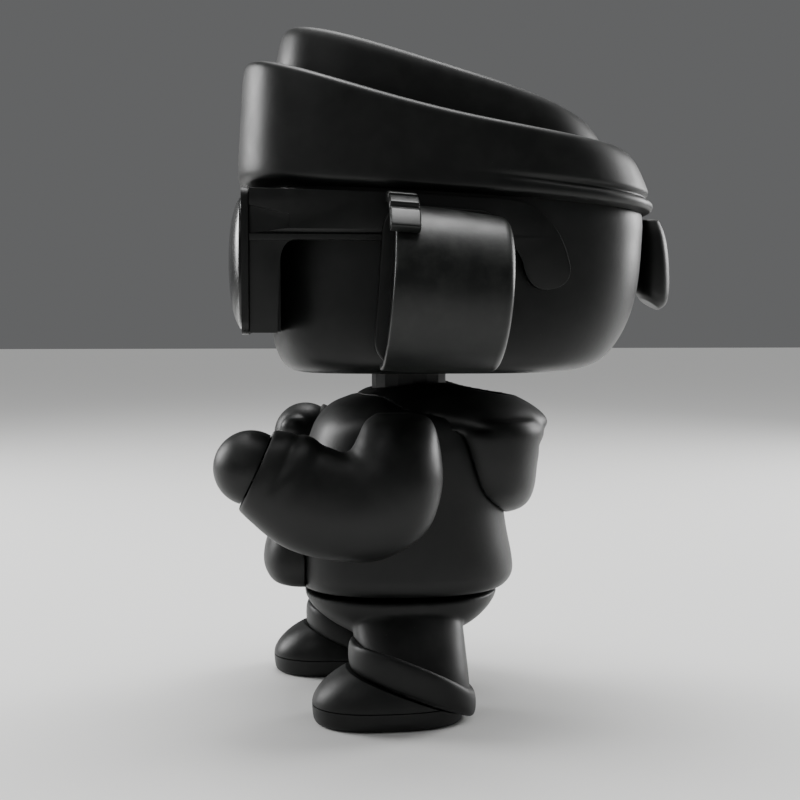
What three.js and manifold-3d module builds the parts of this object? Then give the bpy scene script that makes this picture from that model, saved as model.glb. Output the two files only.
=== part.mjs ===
// Vinyl art toy: a standing street dancer with a wedge hat, wide glasses and side drums.
// Millimetres, +Z up, the figure faces -Y and its left side is +X.
// The origin is on the floor, under the middle of the object's box. The shapes below are drawn
// about the neck's axis, and the finished group is moved by MIDDLE_Y and FLOOR_Z.
import * as THREE from 'three';
import { mergeVertices } from 'three/addons/utils/BufferGeometryUtils.js';
import Module from 'manifold-3d';

const wasm = await Module();
wasm.setup();

// ---------- driving dimensions ----------
const MIDDLE_Y = 12.15;       // middle of the finished object's box, from the neck's axis
const FLOOR_Z = -3.3;         // the floor the soles stand on
const GAP = 0.3;              // clearance kept between separate pieces
const WALL = 3;               // wall of the hollow mouldings
const SIDES = 26;             // facets around a large moulding
const INSIDE = { sides: 14, levels: 5 };   // facets of a hollow's inner face

const HEAD_BASE = 101.5;      // underside of the head
const HEAD_HALF = 42;         // half width of the head
const HEAD_FRONT = -44.5;
const HEAD_BACK = 74;
const HEAD_MIDDLE = 16;       // where the head is widest

const HAT_HALF = 48;          // half width of the hat at its lower edge
const HAT_FRONT = -54;
const HAT_BACK = 76.5;

const GLASSES_LOW = 113.3;
const GLASSES_HIGH = 155.2;
const GLASSES_FACE = -52.6;   // front plane of the glasses frame
const GLASSES_PLATE_BACK = GLASSES_FACE + 2;
const TEMPLE_IN = HEAD_HALF + 0.4;
const TEMPLE_OUT = TEMPLE_IN + 3;
const LENS_X = 22;            // lens centre from the middle plane
const LENS_Z = (GLASSES_LOW + GLASSES_HIGH) / 2;
const LENS_HALF = 19.5;
const LENS_BULGE = 4.2;

const DRUM_X = TEMPLE_OUT + 4.1;
const DRUM_Y = 4.4;
const DRUM_Z = 125.5;
const DRUM_TILT = THREE.MathUtils.degToRad(-4);
const DRUM_FRONT_RADIUS = 23.6;
const DRUM_REAR_RADIUS = 22.2;
const DRUM_HALF_LENGTH = 16.5;
const PLATE_THICKNESS = 2;

const TORSO_BASE = 33;        // underside of the hoodie
const ARM_PLANE = 31.8;       // inner face of each sleeve
const SLEEVE_INNER_WALL = 1.4;  // wall of the sleeve where it faces the hoodie
const SHOULDER_Y = -4.5;
const SHOULDER_Z = 80;
const SHOULDER_RADIUS = 3.6;
const NECK_RADIUS = 12;
const WAIST_RADIUS = 10;

const PELVIS_TOP = 32;
const FOOT_X = 30;            // shoe centre from the middle plane
const FOOT_STEP = -11;        // how far the right foot stands in front of the left
const SOLE_TOP = 2.3;
const TROUSER_SLOPE = -0.39;  // slope of the trouser bottom, front to back
const TROUSER_FRONT_Y = -20.8;
const TROUSER_FRONT_Z = 12.6;
const CUFF_THICKNESS = 1.8;

// ---------- materials ----------
function vinyl(color, roughness) {
  return new THREE.MeshStandardMaterial({ color, roughness, metalness: 0 });
}

const SATIN = vinyl(0x101211, 0.42);
const MATTE = vinyl(0x0c0d0d, 0.55);
const GLOSS = vinyl(0x0d0f0e, 0.2);
const DRUM_BLACK = vinyl(0x171a18, 0.33);
const PEG_PLASTIC = vinyl(0x1b1c1c, 0.6);

// ---------- solids ----------
function solidOf(geometry) {
  const bare = geometry.clone();
  bare.deleteAttribute('normal');
  bare.deleteAttribute('uv');
  const merged = mergeVertices(bare, 1e-4);
  const vertProperties = Float32Array.from(merged.attributes.position.array);
  const triVerts = Uint32Array.from(merged.index.array);
  return new wasm.Manifold(new wasm.Mesh({ numProp: 3, vertProperties, triVerts }));
}

function geometryOf(solid) {
  const mesh = solid.getMesh();
  const geometry = new THREE.BufferGeometry();
  geometry.setAttribute('position', new THREE.BufferAttribute(Float32Array.from(mesh.vertProperties), 3));
  geometry.setIndex(new THREE.BufferAttribute(Uint32Array.from(mesh.triVerts), 1));
  geometry.computeVertexNormals();
  return geometry;
}

function cut(solid, ...tools) {
  return tools.reduce((body, tool) => body.subtract(tool), solid);
}

function join(solid, ...others) {
  return others.reduce((body, other) => body.add(other), solid);
}

// ---------- shape helpers ----------

// Rows of numbers read as one smooth curve from 0 to 1.
function smoothRows(rows) {
  const times = rows.map((row, index) => index / (rows.length - 1));
  const interpolant = new THREE.CubicInterpolant(times, rows.flat(), rows[0].length);
  return (t) => Array.from(interpolant.evaluate(t));
}

// Distance from the middle to a superellipse outline, along a direction.
function outlineRadius(cosine, sine, across, along, power) {
  const sum = Math.abs(cosine / across) ** power + Math.abs(sine / along) ** power;
  return sum ** (-1 / power);
}

// A closed cylinder whose rings are moved: place(level, direction) gives a point of a ring,
// and centre(level) the middle of an end cap.
function ringSolid(sides, levels, place, centre) {
  const geometry = new THREE.CylinderGeometry(1, 1, 1, sides, levels);
  const position = geometry.attributes.position;
  for (let i = 0; i < position.count; i += 1) {
    const level = Math.min(Math.max(position.getY(i) + 0.5, 0), 1);
    const direction = new THREE.Vector2(position.getX(i), -position.getZ(i));
    const onAxis = direction.length() < 0.5;
    const point = onAxis ? centre(level) : place(level, direction.normalize());
    position.setXYZ(i, point.x, point.y, point.z);
  }
  return solidOf(geometry);
}

// An upright moulding: rows are [height, half width, front, back, middle x], bottom to top.
// heightAt(height, x, y) turns a row's height into the real one.
function tower(rows, options = {}) {
  const { middle = 0, frontPower = 2.6, backPower = 2.4, sides = SIDES, levels = 10 } = options;
  const heightAt = options.heightAt ?? ((height) => height);
  const rowAt = smoothRows(rows.map((row) => [row[0], row[1], row[2], row[3], row[4] ?? 0]));
  const middleOf = (row) => THREE.MathUtils.clamp(middle, row[2] + 1, row[3] - 1);
  const place = (level, direction) => {
    const row = rowAt(level);
    const front = direction.y < 0;
    const along = front ? middleOf(row) - row[2] : row[3] - middleOf(row);
    const radius = outlineRadius(direction.x, direction.y, row[1], along, front ? frontPower : backPower);
    const x = row[4] + radius * direction.x;
    const y = middleOf(row) + radius * direction.y;
    return new THREE.Vector3(x, y, heightAt(row[0], x, y));
  };
  const centre = (level) => {
    const row = rowAt(level);
    return new THREE.Vector3(row[4], middleOf(row), heightAt(row[0], row[4], middleOf(row)));
  };
  return ringSolid(sides, levels, place, centre);
}

// The same rows moved outwards by a distance, or inwards when it is negative.
function offsetRows(rows, distance) {
  const last = rows.length - 1;
  return rows.map(([height, half, front, back, x = 0], index) => {
    let shift = 0;
    if (index === 0) shift = -distance;
    if (index === last) shift = distance;
    return [height + shift, half + distance, front - distance, back + distance, x];
  });
}

// Rows whose outline grows by a distance while their heights stay.
function offsetOutline(rows, distance) {
  return rows.map(([height, half, front, back]) => {
    return [height, half + distance, front - distance, back + distance];
  });
}

// A bent limb in an upright plane. Each row is a ring given by its ends on the inner and outer
// side of the bend: [x, inner y, inner z, outer y, outer z, half width in x].
function limb(rows, options = {}) {
  const { sides = 16, levels = 11 } = options;
  const rowAt = smoothRows(rows);
  const centre = (level) => {
    const [x, innerY, innerZ, outerY, outerZ] = rowAt(level);
    return new THREE.Vector3(x, (innerY + outerY) / 2, (innerZ + outerZ) / 2);
  };
  const place = (level, direction) => {
    const [, innerY, innerZ, outerY, outerZ, half] = rowAt(level);
    const reach = new THREE.Vector3(0, outerY - innerY, outerZ - innerZ).multiplyScalar(0.5);
    const point = centre(level).addScaledVector(reach, direction.y);
    point.x -= half * direction.x;
    return point;
  };
  return ringSolid(sides, levels, place, centre);
}

// The same limb with every ring drawn in by a wall.
function insetLimb(rows, wall) {
  return rows.map(([x, innerY, innerZ, outerY, outerZ, half]) => {
    const share = wall / Math.hypot(outerY - innerY, outerZ - innerZ);
    const lerp = THREE.MathUtils.lerp;
    return [
      x,
      lerp(innerY, outerY, share),
      lerp(innerZ, outerZ, share),
      lerp(outerY, innerY, share),
      lerp(outerZ, innerZ, share),
      half - wall,
    ];
  });
}

function ellipsoid(x, y, z, rx, ry, rz, segments = 14) {
  const geometry = new THREE.SphereGeometry(1, segments, segments / 2);
  geometry.scale(rx, ry, rz);
  geometry.translate(x, y, z);
  return solidOf(geometry);
}

function block(minX, maxX, minY, maxY, minZ, maxZ) {
  const geometry = new THREE.BoxGeometry(maxX - minX, maxY - minY, maxZ - minZ);
  geometry.translate((minX + maxX) / 2, (minY + maxY) / 2, (minZ + maxZ) / 2);
  return solidOf(geometry);
}

// A turned piece: profile points are [radius, height] from axis to axis, low to high.
function turned(profile, sides = 16) {
  const points = profile.map(([radius, height]) => new THREE.Vector2(radius, height));
  const geometry = new THREE.LatheGeometry(points, sides);
  geometry.rotateX(Math.PI / 2);
  return geometry;
}

// A stepped peg standing on z = 0: steps are [radius, top height].
function pegProfile(steps) {
  const profile = [[0, 0]];
  let low = 0;
  for (const [radius, top] of steps) {
    profile.push([radius, low], [radius, top]);
    low = top;
  }
  profile.push([0, low]);
  return profile;
}

// A flat outline in the (y, z) plane given a thickness from x = from to x = to.
function sidePlate(shape, from, to, bevel = 0, curveSegments = 4) {
  const geometry = new THREE.ExtrudeGeometry(shape, {
    depth: to - from - 2 * bevel,
    bevelEnabled: bevel > 0,
    bevelThickness: bevel,
    bevelSize: bevel,
    bevelOffset: -bevel,
    bevelSegments: 1,
    curveSegments,
  });
  geometry.translate(0, 0, from + bevel);
  geometry.applyMatrix4(new THREE.Matrix4().set(0, 0, 1, 0, 1, 0, 0, 0, 0, 1, 0, 0, 0, 0, 0, 1));
  return solidOf(geometry);
}

// A flat outline in the (x, z) plane given a thickness from y = from to y = to.
function frontPlate(shape, from, to, bevel = 0, curveSegments = 4) {
  const geometry = new THREE.ExtrudeGeometry(shape, {
    depth: to - from - 2 * bevel,
    bevelEnabled: bevel > 0,
    bevelThickness: bevel,
    bevelSize: bevel,
    bevelOffset: -bevel,
    bevelSegments: 1,
    curveSegments,
  });
  geometry.rotateX(Math.PI / 2);
  geometry.translate(0, to - bevel, 0);
  return solidOf(geometry);
}

function roundedRectangle(minX, maxX, minY, maxY, radius) {
  const shape = new THREE.Shape();
  shape.moveTo(minX + radius, minY);
  shape.lineTo(maxX - radius, minY);
  shape.absarc(maxX - radius, minY + radius, radius, -Math.PI / 2, 0);
  shape.absarc(maxX - radius, maxY - radius, radius, 0, Math.PI / 2);
  shape.absarc(minX + radius, maxY - radius, radius, Math.PI / 2, Math.PI);
  shape.absarc(minX + radius, minY + radius, radius, Math.PI, 1.5 * Math.PI);
  return shape;
}

// ---------- nodes ----------
const toy = new THREE.Group();
toy.position.set(0, -MIDDLE_Y, -FLOOR_Z);

function addNode(name, solid, material) {
  const mesh = new THREE.Mesh(geometryOf(solid), material);
  mesh.name = name;
  toy.add(mesh);
  return mesh;
}

function mirrored(solid) {
  return solid.mirror([1, 0, 0]);
}

function addPair(name, solid, material) {
  addNode(`left_${name}`, solid, material);
  addNode(`right_${name}`, mirrored(solid), material);
}

// ---------- head ----------
// Rows of the head, upright. headHeight() leans its hidden top back under the hat.
const HEAD_ROWS = [
  [HEAD_BASE, HEAD_HALF - 8, -35, 47],
  [HEAD_BASE + 1, HEAD_HALF - 4, -38.5, 54],
  [105, HEAD_HALF - 1.6, -41, 60.5],
  [110, HEAD_HALF - 0.5, -43, 65.5],
  [118, HEAD_HALF, -44.3, 70],
  [128, HEAD_HALF, HEAD_FRONT, 72.8],
  [140, HEAD_HALF, HEAD_FRONT, HEAD_BACK],
  [151, HEAD_HALF, HEAD_FRONT, HEAD_BACK],
  [160, HEAD_HALF - 1, HEAD_FRONT + 1, HEAD_BACK - 4],
  [167, HEAD_HALF - 5, HEAD_FRONT + 5, HEAD_BACK - 11],
  [170, HEAD_HALF - 13, HEAD_FRONT + 13, HEAD_BACK - 24],
];

function headHeight(height, x, y) {
  const lean = 0.14 * THREE.MathUtils.smoothstep(height, 150, 170);
  return height - lean * (y - HEAD_MIDDLE);
}

const HEAD_OPTIONS = { middle: HEAD_MIDDLE, frontPower: 4, backPower: 2.5, heightAt: headHeight, levels: 12 };

function headSolid(distance = 0, detail = {}) {
  return tower(offsetRows(HEAD_ROWS, distance), { ...HEAD_OPTIONS, ...detail });
}

function head() {
  const neckHole = solidOf(turned(pegProfile([[9.4, 20]]))).translate([0, 0, HEAD_BASE - 5]);
  return cut(headSolid(), headSolid(-WALL, INSIDE), neckHole);
}

// ---------- hat ----------
// Heights of the hat's lower edge, its ledge and its crown along the head.
const brimHeight = (y) => 155 - 0.055 * y;
const ledgeHeight = (y) => 179.3 - 0.2355 * y + 0.00154 * y * y;
const crownHeight = (y) => 195.2 - 0.29 * y;

// Rows of the band: [share of the height, half width, front, back].
const BAND_ROWS = [
  [0, HAT_HALF - 2.5, HAT_FRONT + 3.5, HAT_BACK - 1.3],
  [0.03, HAT_HALF - 0.5, HAT_FRONT + 1, HAT_BACK - 0.3],
  [0.1, HAT_HALF, HAT_FRONT, HAT_BACK],
  [0.3, HAT_HALF - 0.3, HAT_FRONT + 0.2, HAT_BACK - 0.9],
  [0.55, HAT_HALF - 0.6, HAT_FRONT + 0.8, HAT_BACK - 2.9],
  [0.8, HAT_HALF - 1, HAT_FRONT + 1.4, HAT_BACK - 5.7],
  [0.95, HAT_HALF - 1.8, HAT_FRONT + 2.4, HAT_BACK - 9.2],
  [1, HAT_HALF - 4.5, HAT_FRONT + 6, HAT_BACK - 13.7],
];

const CROWN_ROWS = [
  [0, 38, -42.8, 61.5],
  [0.45, 37.2, -41.8, 59.5],
  [0.8, 36, -40.4, 56.5],
  [0.95, 34, -38, 52],
  [1, 29, -32, 45],
];

const HAT_OPTIONS = { middle: HEAD_MIDDLE, frontPower: 4, backPower: 2.5 };

function bandSolid(distance = 0, detail = {}) {
  const heightAt = (share, x, y) => THREE.MathUtils.lerp(brimHeight(y), ledgeHeight(y), share);
  const rows = offsetOutline(BAND_ROWS, distance);
  return tower(rows, { ...HAT_OPTIONS, heightAt, levels: 8, ...detail });
}

// The crown, reaching a distance in millimetres below the ledge.
function crownSolid(distance = 0, below = 0, detail = {}) {
  const heightAt = (share, x, y) => {
    if (share < 0) return ledgeHeight(y) + share;
    return THREE.MathUtils.lerp(ledgeHeight(y), crownHeight(y), share);
  };
  const skirt = [-below, ...CROWN_ROWS[0].slice(1)];
  const rows = offsetOutline([skirt, ...CROWN_ROWS], distance);
  return tower(rows, { ...HAT_OPTIONS, heightAt, levels: 8, ...detail });
}

function hatBand() {
  const aboveHead = block(-60, 60, -70, 90, 160, 200);
  const cavity = bandSolid(-WALL, INSIDE).translate([0, 0, -WALL]).intersect(aboveHead);
  const crownHole = crownSolid(GAP, 12);
  return cut(bandSolid(), headSolid(0.4), cavity, crownHole);
}

function hatCrown() {
  const skirt = 2.4;
  const hollow = crownSolid(-WALL, 12, INSIDE).translate([0, 0, -WALL]);
  return cut(crownSolid(0, skirt), hollow, headSolid(0.4));
}

function hatTail() {
  const rows = [
    [0, 75.6, 150.2, 82, 150.2, 4.5],
    [0, 75.2, 145, 84, 145, 6.5],
    [0, 75.1, 138, 85.2, 137.5, 7.5],
    [0, 74.8, 131.5, 85.6, 128.5, 7.5],
    [0, 75, 127.4, 84.8, 123, 6.8],
    [0, 76.5, 124.6, 82.4, 120.9, 4.2],
  ];
  return cut(limb(rows, { sides: 14, levels: 9 }), headSolid(0.4));
}

// ---------- side drums ----------
function placedDrum(solid) {
  const tilt = THREE.MathUtils.radToDeg(DRUM_TILT);
  return solid.rotate([tilt, 0, 0]).translate([DRUM_X, DRUM_Y, DRUM_Z]);
}

const DRUM_CUT = TEMPLE_OUT + GAP + PLATE_THICKNESS + GAP - DRUM_X;

// Turns about the drum's own axis, which runs front to back.
function drumTurned(profile) {
  const geometry = turned(profile, 32);
  geometry.rotateX(Math.PI / 2);
  return solidOf(geometry);
}

function drumShell() {
  const edge = 2.4;
  const rim = 1;
  const wall = 2.2;
  const rear = DRUM_HALF_LENGTH;
  const round = [0, 1, 2, 3].map((step) => {
    const angle = (step / 3) * (Math.PI / 2);
    return [DRUM_REAR_RADIUS - edge + edge * Math.sin(angle), -rear + edge - edge * Math.cos(angle)];
  });
  const profile = [
    [0, -rear - 0.6],
    ...round,
    [DRUM_FRONT_RADIUS, rear - rim],
    [DRUM_FRONT_RADIUS - rim / 2, rear],
    [DRUM_FRONT_RADIUS - wall, rear],
    [DRUM_FRONT_RADIUS - wall, rear - 6],
    [DRUM_REAR_RADIUS - wall, -rear + wall],
    [0, -rear + wall],
  ];
  const keep = block(DRUM_CUT, 40, -40, 40, -40, 40);
  return placedDrum(drumTurned(profile).intersect(keep));
}

// A disc just inside the drum's rim, with upright slots in rows.
function drumGrille() {
  const radius = DRUM_FRONT_RADIUS - 2.2 - GAP;
  const front = -DRUM_HALF_LENGTH + 1.6;
  const profile = [[0, -front - 2], [radius, -front - 2], [radius, -front], [0, -front]];
  const slots = [];
  for (const row of [-2, -1, 0, 1, 2]) {
    for (const column of [0, 1]) {
      const x = 3.5 + 6.6 * column;
      const z = 7 * row;
      if (Math.hypot(x + 4, Math.abs(z) + 2.2) < radius - 1) {
        slots.push(block(x, x + 4, front - 1, front + 3, z - 2.2, z + 2.2));
      }
    }
  }
  const keep = block(DRUM_CUT, 40, -40, 40, -40, 40);
  return placedDrum(cut(drumTurned(profile).intersect(keep), ...slots));
}

function drumPlate() {
  const outline = roundedRectangle(-18.4, 15.9, -22.1, 23.9, 7);
  const inner = TEMPLE_OUT + GAP - DRUM_X;
  return placedDrum(sidePlate(outline, inner, inner + PLATE_THICKNESS, 0.5));
}

function drumPost() {
  const geometry = turned(pegProfile([[7, TEMPLE_OUT - TEMPLE_IN - 0.1]]));
  geometry.rotateY(Math.PI / 2);
  return solidOf(geometry).translate([TEMPLE_IN, 4, 115.5]);
}

// An arched block clamped over the drum's front edge, with two grooves along it.
function clampBlock() {
  const inner = DRUM_FRONT_RADIUS + GAP;
  const outer = inner + 2.9;
  const turn = THREE.MathUtils.degToRad;
  const shape = new THREE.Shape();
  shape.absarc(0, 0, outer, turn(36), turn(51), false);
  shape.absarc(0, 0, outer - 1.3, turn(52), turn(57), false);
  shape.absarc(0, 0, outer, turn(58), turn(69), false);
  shape.absarc(0, 0, outer - 1.3, turn(70), turn(75), false);
  shape.absarc(0, 0, outer, turn(76), turn(91), false);
  shape.absarc(0, 0, inner, turn(91), turn(36), true);
  shape.closePath();
  return placedDrum(frontPlate(shape, -DRUM_HALF_LENGTH - 1.8, -DRUM_HALF_LENGTH + 6.5));
}

// ---------- glasses ----------
function hingeRecess() {
  const depth = 1.2;
  const shape = new THREE.Shape();
  shape.moveTo(GLASSES_FACE + 1.5, 150);
  shape.lineTo(-39, 147.4);
  shape.lineTo(-39, 143.4);
  shape.lineTo(GLASSES_FACE + 1.5, 141);
  shape.closePath();
  return sidePlate(shape, TEMPLE_OUT - depth, TEMPLE_OUT + 2);
}

function lensOutline(half, power) {
  const shape = new THREE.Shape();
  const steps = 24;
  for (let i = 0; i < steps; i += 1) {
    const angle = (i / steps) * 2 * Math.PI;
    const radius = outlineRadius(Math.cos(angle), Math.sin(angle), half, half, power);
    const x = LENS_X + radius * Math.cos(angle);
    const z = LENS_Z + radius * Math.sin(angle);
    if (i === 0) shape.moveTo(x, z);
    else shape.lineTo(x, z);
  }
  shape.closePath();
  return shape;
}

function glassesFrame() {
  const plateOutline = roundedRectangle(-TEMPLE_OUT, TEMPLE_OUT, GLASSES_LOW, GLASSES_HIGH, 4);
  const plate = frontPlate(plateOutline, GLASSES_FACE, GLASSES_PLATE_BACK, 0.5);
  const inside = TEMPLE_IN - GAP;
  const low = GLASSES_LOW + 0.8;
  const high = GLASSES_HIGH - 0.8;
  const backing = block(-inside, inside, GLASSES_PLATE_BACK - 0.5, HEAD_FRONT + 3, low, high);
  const pocket = frontPlate(lensOutline(LENS_HALF + GAP, 3), GLASSES_FACE - 2, GLASSES_FACE + 1);
  return cut(join(plate, backing), headSolid(0.4), pocket, mirrored(pocket));
}

function lens() {
  const rows = [
    [0, 1],
    [0.3, 0.985],
    [0.6, 0.86],
    [0.85, 0.6],
    [1, 0.2],
  ];
  const base = GLASSES_FACE + 1 - GAP;
  const rise = LENS_BULGE + 1 - GAP;
  const rowAt = smoothRows(rows);
  const at = (height, scale, direction) => {
    const radius = scale * outlineRadius(direction.x, direction.y, LENS_HALF, LENS_HALF, 3);
    return new THREE.Vector3(LENS_X + radius * direction.x, base - rise * height, LENS_Z + radius * direction.y);
  };
  const place = (level, direction) => at(rowAt(level)[0], rowAt(level)[1], direction);
  const centre = (level) => new THREE.Vector3(LENS_X, base - rise * rowAt(level)[0], LENS_Z);
  return ringSolid(24, 5, place, centre);
}

function temple() {
  const cheekBack = -42.5;
  const armLow = 140.2;
  const start = GLASSES_PLATE_BACK + GAP;
  const shape = new THREE.Shape();
  shape.moveTo(start, GLASSES_LOW + 0.5);
  shape.lineTo(cheekBack, GLASSES_LOW + 0.5);
  shape.lineTo(cheekBack + 0.8, 127);
  shape.quadraticCurveTo(cheekBack + 1.2, armLow, cheekBack + 8, armLow);
  shape.lineTo(22, armLow);
  shape.quadraticCurveTo(26, 139.5, 28, 134);
  shape.quadraticCurveTo(29.5, 126.5, 34.5, 126.2);
  shape.quadraticCurveTo(42.5, 126.4, 42, 133);
  shape.quadraticCurveTo(39.5, 145, 31, 150);
  shape.quadraticCurveTo(28, 151.8, 20, 152.2);
  shape.lineTo(-12, 153.8);
  shape.lineTo(start, GLASSES_HIGH - 0.6);
  shape.closePath();
  return cut(sidePlate(shape, TEMPLE_IN, TEMPLE_OUT, 0.5), hingeRecess());
}

// ---------- hoodie ----------
const TORSO_ROWS = [
  [TORSO_BASE, 27, -32, 27],
  [TORSO_BASE + 0.8, 30, -35, 30.5],
  [37, 31.3, -37, 33],
  [42, 31.4, -37.5, 33],
  [52, 31.2, -37, 31],
  [62, 31, -36, 29.5],
  [72, 31.2, -34.3, 27.5],
  [80, 31, -32.2, 25],
  [86, 29, -29.6, 22],
  [90.8, 23.2, -25, 18],
  [93.8, 16.8, -18, 15],
];

const TORSO_OPTIONS = { middle: -3, frontPower: 2.5, backPower: 2.5, levels: 11 };

function torsoSolid(distance = 0, detail = {}) {
  return tower(offsetRows(TORSO_ROWS, distance), { ...TORSO_OPTIONS, ...detail });
}

function shoulderBore(radius) {
  const geometry = turned(pegProfile([[radius, 80]]));
  geometry.rotateY(Math.PI / 2);
  return solidOf(geometry).translate([-40, SHOULDER_Y, SHOULDER_Z]);
}

function hoodieBody() {
  const waistHole = solidOf(turned(pegProfile([[WAIST_RADIUS + 0.4, 20]]))).translate([0, 0, TORSO_BASE - 5]);
  const neckHole = solidOf(turned(pegProfile([[NECK_RADIUS + GAP, 20]]))).translate([0, 0, 80]);
  return cut(torsoSolid(), torsoSolid(-WALL, INSIDE), waistHole, neckHole, shoulderBore(SHOULDER_RADIUS + GAP));
}

// The hood lies round the neck and hangs behind: a collar and a bag.
const HOOD_COLLAR_ROWS = [
  [80, 25, -22, 40],
  [83, 28, -26.5, 44.2],
  [86, 28.4, -27.5, 44.8],
  [90, 26.4, -25, 40.5],
  [94, 22.5, -21, 33],
  [97, 17.5, -16, 25],
  [98, 14.5, -13.5, 21],
];

const HOOD_BAG_ROWS = [
  [55.7, 10, 22, 31.5],
  [57.2, 16, 20, 36],
  [60, 21, 18, 38.8],
  [65, 26, 14, 40.2],
  [72, 28.4, 10, 40.8],
  [78, 29.2, 6, 41.8],
  [83, 29.2, 2, 43],
  [87, 27.5, 0, 40.5],
];

function hood() {
  const middle = 4;
  const heightAt = (height, x, y) => height + 0.12 * Math.min(y - middle, 0);
  const collar = tower(HOOD_COLLAR_ROWS, { middle, frontPower: 2.3, backPower: 2.3, levels: 8, heightAt });
  const bag = tower(HOOD_BAG_ROWS, { middle: 22, frontPower: 2.3, backPower: 2.5, levels: 8 });
  const mouth = ellipsoid(0, 22, 98, 16.5, 15, 8);
  const neckHole = solidOf(turned(pegProfile([[NECK_RADIUS + GAP, 60]]))).translate([0, 0, 60]);
  return cut(join(collar, bag), mouth, neckHole, torsoSolid(GAP));
}

function frontPocket() {
  const pouch = tower(
    [
      [34.2, 14.5, -41, -30],
      [35.6, 17, -44.5, -30],
      [40, 18.2, -46.8, -30],
      [45, 18, -46.6, -30],
      [51, 17, -44.5, -30],
      [56, 15, -41, -30],
      [58.5, 12, -38, -30],
    ],
    { middle: -31, frontPower: 3.2, levels: 7 },
  );
  return cut(pouch, torsoSolid(GAP));
}

function neckPeg() {
  const low = 84;
  const profile = pegProfile([
    [14.5, 2.2],
    [NECK_RADIUS, HEAD_BASE - GAP - low],
    [9, HEAD_BASE + WALL + 0.4 - low],
    [10.4, HEAD_BASE + WALL + 3.4 - low],
  ]);
  return solidOf(turned(profile)).translate([0, 0, low]);
}

function shoulderPeg() {
  const start = 20;
  const profile = pegProfile([
    [5.6, 2.5],
    [SHOULDER_RADIUS, ARM_PLANE + SLEEVE_INNER_WALL + 0.5 - start],
    [SHOULDER_RADIUS + 0.2, ARM_PLANE + SLEEVE_INNER_WALL + 2 - start],
  ]);
  const geometry = turned(profile);
  geometry.rotateY(Math.PI / 2);
  return solidOf(geometry).translate([start, SHOULDER_Y, SHOULDER_Z]);
}

// ---------- arms ----------
// Rings of each sleeve from shoulder to cuff, as limb() reads them.
const LEFT_ARM_ROWS = [
  [34, -13.5, 90, -2.5, 90, 3.5],
  [36, -17, 87.5, 2.6, 88, 7.5],
  [38.6, -19, 84, 5, 79.5, 11],
  [40.3, -20.5, 81.3, 5.2, 68.3, 12.8],
  [41, -22, 79.6, 0.3, 55.5, 13.2],
  [41, -24, 79.2, -12.7, 47.7, 13.2],
  [40.4, -28.5, 81, -28, 47.8, 13.1],
  [39.5, -35, 84.3, -42, 52.2, 12.9],
  [38.4, -43.5, 85.6, -54.2, 62.4, 12.2],
];

const RIGHT_ARM_ROWS = [
  [34, -12.5, 90, -2, 90, 3.5],
  [36, -15.5, 87.5, 3.5, 88, 7.5],
  [38.6, -16, 84.5, 7.5, 80.2, 11],
  [40.3, -15.5, 82, 10.8, 70, 12.8],
  [41, -14.5, 80.2, 9.5, 57.5, 13.2],
  [41, -14.5, 79.8, 0, 49, 13.2],
  [40.4, -16.5, 81.5, -13, 48.7, 13.1],
  [39.5, -20.5, 85.2, -27, 55.8, 12.9],
  [38.4, -26, 88.6, -35.5, 66, 12.2],
];

// The middle of the cuff and the way the forearm points there.
function armEnd(rows) {
  const [x, innerY, innerZ, outerY, outerZ] = rows[rows.length - 1];
  const end = new THREE.Vector3(x, (innerY + outerY) / 2, (innerZ + outerZ) / 2);
  const axis = new THREE.Vector3(0, outerZ - innerZ, innerY - outerY).normalize();
  return { end, axis };
}

// Stands a turned piece, made along +Z, on a point and an axis in the upright plane.
function alongAxis(geometry, start, axis) {
  const turn = new THREE.Quaternion().setFromUnitVectors(new THREE.Vector3(0, 0, 1), axis);
  geometry.applyQuaternion(turn);
  geometry.translate(start.x, start.y, start.z);
  return solidOf(geometry);
}

// A wide cylinder that starts at z = 0 and reaches up, or down for side = -1.
function cylinderToward(side = 1) {
  const length = 30;
  const geometry = new THREE.CylinderGeometry(30, 30, length, 16);
  geometry.rotateX(Math.PI / 2);
  geometry.translate(0, 0, (side * length) / 2);
  return geometry;
}

function sleeve(rows) {
  const wall = 2.6;
  const { end, axis } = armEnd(rows);
  const outside = limb(rows).intersect(block(ARM_PLANE, 90, -90, 60, 0, 120));
  const inside = insetLimb(rows, wall);
  const cavityLimb = limb(inside, { sides: 12, levels: 8 });
  const short = alongAxis(cylinderToward(), end.clone().addScaledVector(axis, -wall), axis);
  const room = block(ARM_PLANE + SLEEVE_INNER_WALL, 90, -90, 60, 0, 88);
  const cavity = cavityLimb.intersect(room).subtract(short);
  const wristBore = alongAxis(turned(pegProfile([[3.7, 12]])), end.clone().addScaledVector(axis, -8), axis);
  return cut(outside, cavity, shoulderBore(SHOULDER_RADIUS + GAP), wristBore);
}

function wristPeg(rows) {
  const { end, axis } = armEnd(rows);
  const profile = pegProfile([
    [5, 2],
    [3.3, 11.5],
  ]);
  return alongAxis(turned(profile, 24), end.clone().addScaledVector(axis, -5), axis);
}

function hand(rows) {
  const { end, axis } = armEnd(rows);
  const middle = end.clone().addScaledVector(axis, 1.6);
  const mitt = ellipsoid(middle.x, middle.y, middle.z, 10.8, 11, 11, 16);
  const thumb = ellipsoid(middle.x - 7.4, middle.y - 3.5, middle.z + 2.6, 4.2, 5.4, 4.6, 10);
  const sleeveSide = alongAxis(cylinderToward(-1), end.clone().addScaledVector(axis, GAP), axis);
  const socket = alongAxis(turned(pegProfile([[3.7, 7.5]]), 24), end.clone().addScaledVector(axis, -0.5), axis);
  return cut(join(mitt, thumb), sleeveSide, socket);
}

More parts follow.
